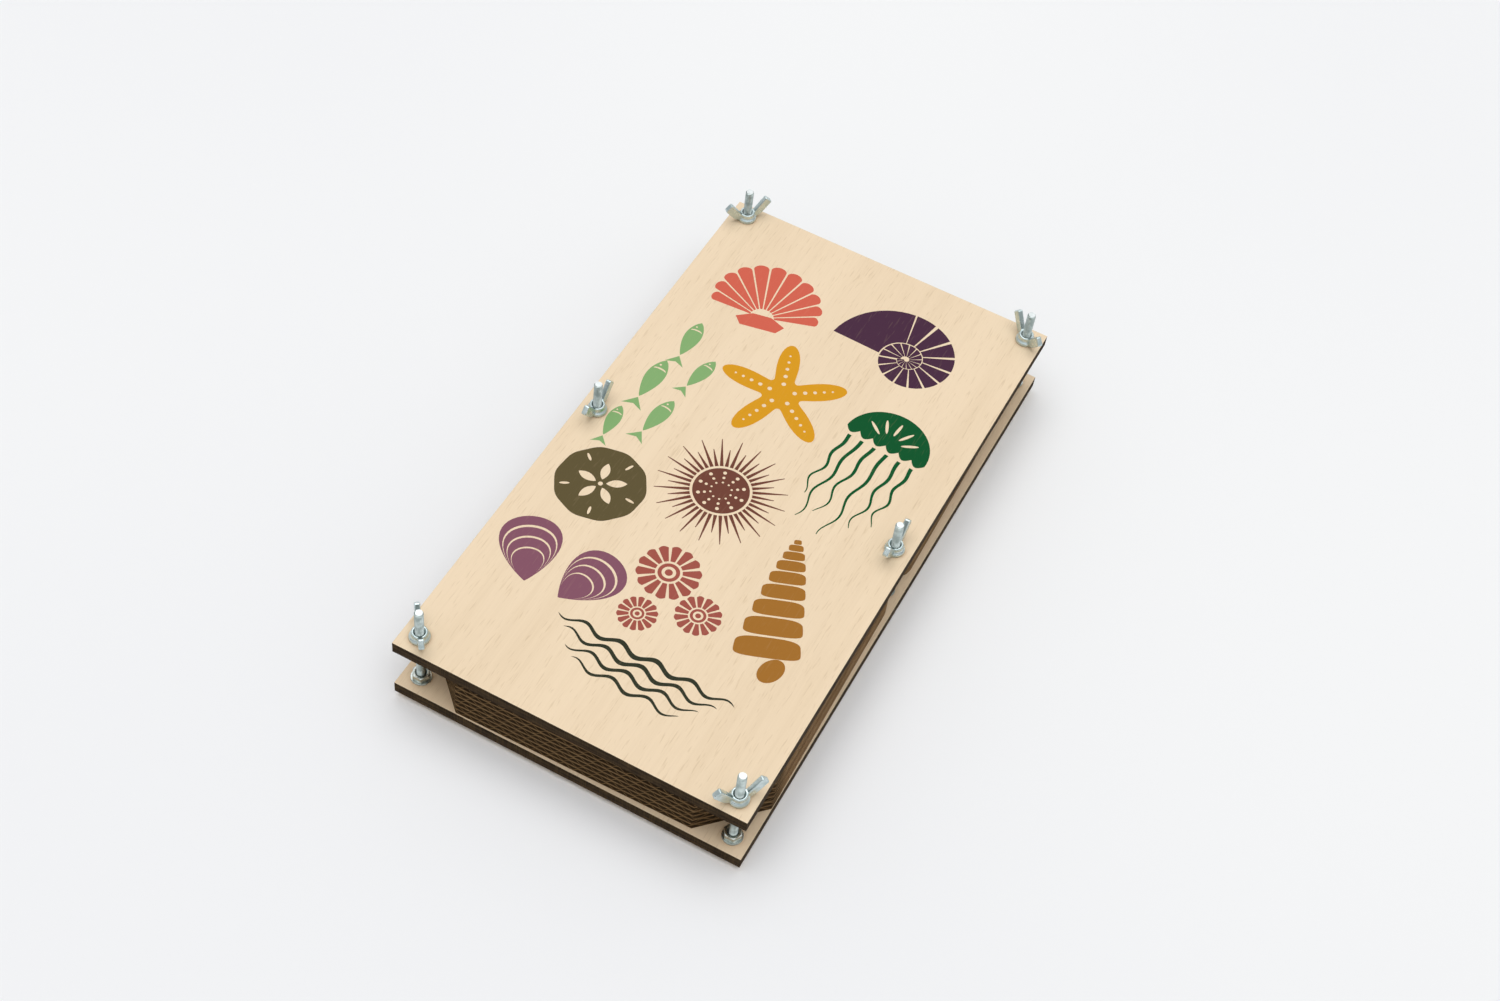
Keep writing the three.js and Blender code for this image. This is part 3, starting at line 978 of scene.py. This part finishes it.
# The thread's zinc is darker than the end face's: partly oil and rougher plating, partly painted shade in
# its fine grooves.
zinc_thread_oil_and_shade = material(
    "zinc_thread_oil_and_groove_shade", zinc_plate,
    {"Bright": colour("b3bdbb"), "Dull": colour("87938f"), "Smooth": 0.3, "Rough": 0.5},
    zinc_relief, Metallic=1.0)
zinc_face = material(
    "zinc_turned_face", zinc_plate,
    {"Bright": colour("e6eaea"), "Dull": colour("cdd5d4"), "Smooth": 0.3, "Rough": 0.45},
    zinc_relief, Metallic=1.0)
pattern = bolt()
pattern.data.materials.append(zinc_thread_oil_and_shade)
pattern.data.materials.append(zinc_face)
faces_slot(pattern, lambda face: face.normal.z > 0.9 and face.center.z > bolt_tip - 0.05 * mm, 1)
placed(pattern, "bolt", 0.0)


# Washers and hexagon nuts: each bolt is clamped to the bottom board by a thin stamped washer
# and a nut with both rims chamfered, all zinc plated and a little duller than the wing nuts.

washer_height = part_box("washer_front_left")[0].z
washer_bore_radius = 2.15 * mm
washer_radius = 4.5 * mm
washer_thickness = 0.8 * mm
nut_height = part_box("hex_nut_front_left")[0].z
nut_bore_radius = 2.03 * mm
nut_across_flats = 7 * mm
nut_thickness = 3.2 * mm
nut_arris = 0.06 * mm

zinc_nut = material(
    "zinc_nut", zinc_plate,
    {"Bright": colour("c6ccc8"), "Dull": colour("a2aba6"), "Smooth": 0.22, "Rough": 0.4},
    zinc_relief, Metallic=1.0)

washer = lathed("washer", [
    (washer_bore_radius, 0.1 * mm), (2.25 * mm, 0), (4.38 * mm, 0), (washer_radius, 0.12 * mm),
    (washer_radius, 0.66 * mm), (4.36 * mm, washer_thickness), (2.3 * mm, washer_thickness),
    (washer_bore_radius, 0.66 * mm), (washer_bore_radius, 0.1 * mm)])
activate(washer)
bpy.ops.object.shade_smooth_by_angle(angle=radians(28))
washer.data.materials.append(zinc_nut)
placed(washer, "washer", washer_height)

nut = rod("hex_nut", nut_across_flats / 2 / cos(pi / 6), 0, nut_thickness, sides=6)
nut.data.transform(Matrix.Rotation(radians(30), 4, "Z"))
rims = lathed("rims", [
    (nut_bore_radius, 0.4 * mm), (2.5 * mm, 0), (3.45 * mm, 0), (4.2 * mm, 0.433 * mm),
    (4.2 * mm, 2.767 * mm), (3.45 * mm, nut_thickness), (2.5 * mm, nut_thickness),
    (nut_bore_radius, 2.8 * mm), (nut_bore_radius, 0.4 * mm)], 60)
combined(nut, rims, "INTERSECT")
applied(nut, "BEVEL", width=nut_arris, segments=2, limit_method="ANGLE", angle_limit=radians(25))
activate(nut)
bpy.ops.object.shade_smooth_by_angle(angle=radians(35))
nut.data.materials.append(zinc_nut)
placed(nut, "hex_nut", nut_height)


# Wing nuts: die-cast in zinc in the American form. A flanged hub steps in to a collar, and two
# flat wings rise from its flanks at 45 degrees, cut off square, all edges soft from the die.

wing_nut_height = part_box("wing_nut_front_left")[0].z
wing_thickness = 2.5 * mm
wing_rounding = 0.45 * mm
flange_radius = 4.5 * mm
collar_radius = 3.5 * mm
hub_height = 4.4 * mm
cast_voxel = 0.16 * mm

zinc_cast = material(
    "zinc_cast", zinc_plate,
    {"Bright": colour("cfdcdc"), "Dull": colour("aebfbf"), "Smooth": 0.26, "Rough": 0.4},
    zinc_relief, Metallic=1.0)


def wing():
    """One wing, drawn flat from its outline in millimetres and given its thickness, edges rounded."""
    outline = ((2.9, 0.7), (4.6, 0.9), (7.2, 2.6), (11.4, 7.7), (11.6, 8.3), (11.4, 8.9), (9.35, 11.05),
               (8.9, 11.3), (8.4, 11.05), (4.2, 5.6), (2.9, 4.0))
    bpy.ops.object.select_all(action="DESELECT")
    bpy.ops.mesh.primitive_circle_add(vertices=len(outline), radius=mm, fill_type="NGON")
    piece = settled("wing")
    for vertex, (x, z) in zip(piece.data.vertices, outline):
        vertex.co = (x * mm, 0.0, z * mm)
    applied(piece, "SOLIDIFY", thickness=wing_thickness, offset=0.0)
    applied(piece, "BEVEL", width=wing_rounding, segments=3, limit_method="ANGLE", angle_limit=radians(60))
    return piece


def wing_nut():
    """Hub and wings joined, then softened as a casting."""
    hub = lathed("wing_nut", [
        (nut_bore_radius, 0.4 * mm), (2.5 * mm, 0), (4.25 * mm, 0), (flange_radius, 0.25 * mm),
        (flange_radius, 1.2 * mm), (4.3 * mm, 1.6 * mm), (3.75 * mm, 2.1 * mm), (collar_radius, 2.6 * mm),
        (collar_radius, 4.0 * mm), (3.1 * mm, hub_height), (2.6 * mm, hub_height),
        (nut_bore_radius, 3.83 * mm), (nut_bore_radius, 0.4 * mm)], 64)
    for turn in (0, 180):
        side = wing()
        side.data.transform(Matrix.Rotation(radians(turn), 4, "Z"))
        combined(hub, side, "UNION")
    applied(hub, "REMESH", mode="VOXEL", voxel_size=cast_voxel, use_smooth_shade=True)
    applied(hub, "SMOOTH", factor=0.5, iterations=4)
    return hub


pattern = wing_nut()
pattern.data.materials.append(zinc_cast)
placed(pattern, "wing_nut", wing_nut_height, turned=True)
